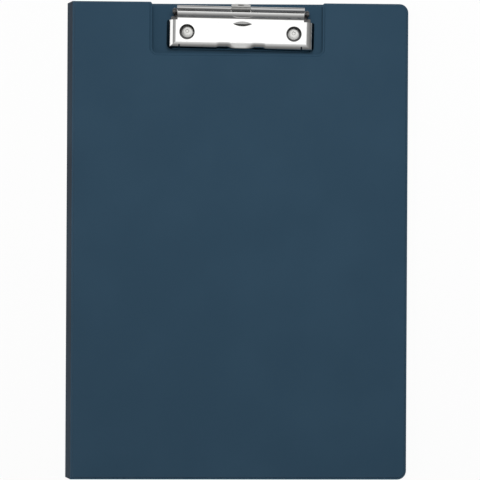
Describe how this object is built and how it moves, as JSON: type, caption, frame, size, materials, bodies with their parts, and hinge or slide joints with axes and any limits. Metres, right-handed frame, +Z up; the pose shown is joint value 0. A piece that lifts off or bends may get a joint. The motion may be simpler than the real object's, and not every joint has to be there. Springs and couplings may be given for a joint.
{
  "type": "clipboard folder",
  "caption": "Fold-over clipboard folder for A4 sheets: two film-covered boards on a soft spine, a notched cover and a sprung lever clip with a hanging tab.",
  "frame": {"origin": "middle of the rear face of the closed folder, which lies on its back", "axes": "+X towards the free edge of the cover, +Y towards the clip end, +Z up through the cover; the spine is at -X"},
  "size_m": [0.2298, 0.32, 0.018],
  "materials": {
    "film": "fine matt vinyl",
    "board": "grey",
    "clip_steel": "bright plated",
    "spring_steel": "plated wire"
  },
  "bodies": {
    "back": {"back_outer_film": "film", "back_board": "board", "back_inner_film": "film", "clip_base_plate": "clip_steel", "clip_rivets": "clip_steel", "rivet_washers": "clip_steel", "hinge_pin": "clip_steel", "torsion_spring_left": "spring_steel", "torsion_spring_right": "spring_steel"},
    "spine": {"spine_outer_film": "film", "spine_inner_film": "film"},
    "cover": {"cover_outer_film": "film", "cover_board": "board", "cover_inner_film": "film", "cover_pocket": "film"},
    "clamp": {"clamp_plate": "clip_steel", "hem_wire": "clip_steel"},
    "tab": {"hanging_tab": "clip_steel"}
  },
  "joints": [
    {"name": "spine_fold", "type": "hinge", "parent": "back", "child": "spine", "pos_m": [-0.1146, 0, 0.0013], "axis": [0, -1, 0], "range_deg": [0, 236]},
    {"name": "cover_fold", "type": "hinge", "parent": "spine", "child": "cover", "pos_m": [-0.11014, 0, 0.00969], "axis": [0, -1, 0], "range_deg": [0, 126.7]},
    {"name": "clamp_hinge", "type": "hinge", "parent": "back", "child": "clamp", "pos_m": [0.00225, 0.1529, 0.0081], "axis": [-0.9998, 0.0175, 0], "range_deg": [0, 26], "stiffness_Nm_per_rad": 0.4, "springref_deg": -34.38, "deforming": ["torsion_spring_left", "torsion_spring_right"]},
    {"name": "tab_hinge", "type": "hinge", "parent": "clamp", "child": "tab", "pos_m": [0.00227, 0.1541, 0.0165], "axis": [0.9998, -0.0175, 0], "range_deg": [0, 90]}
  ]
}
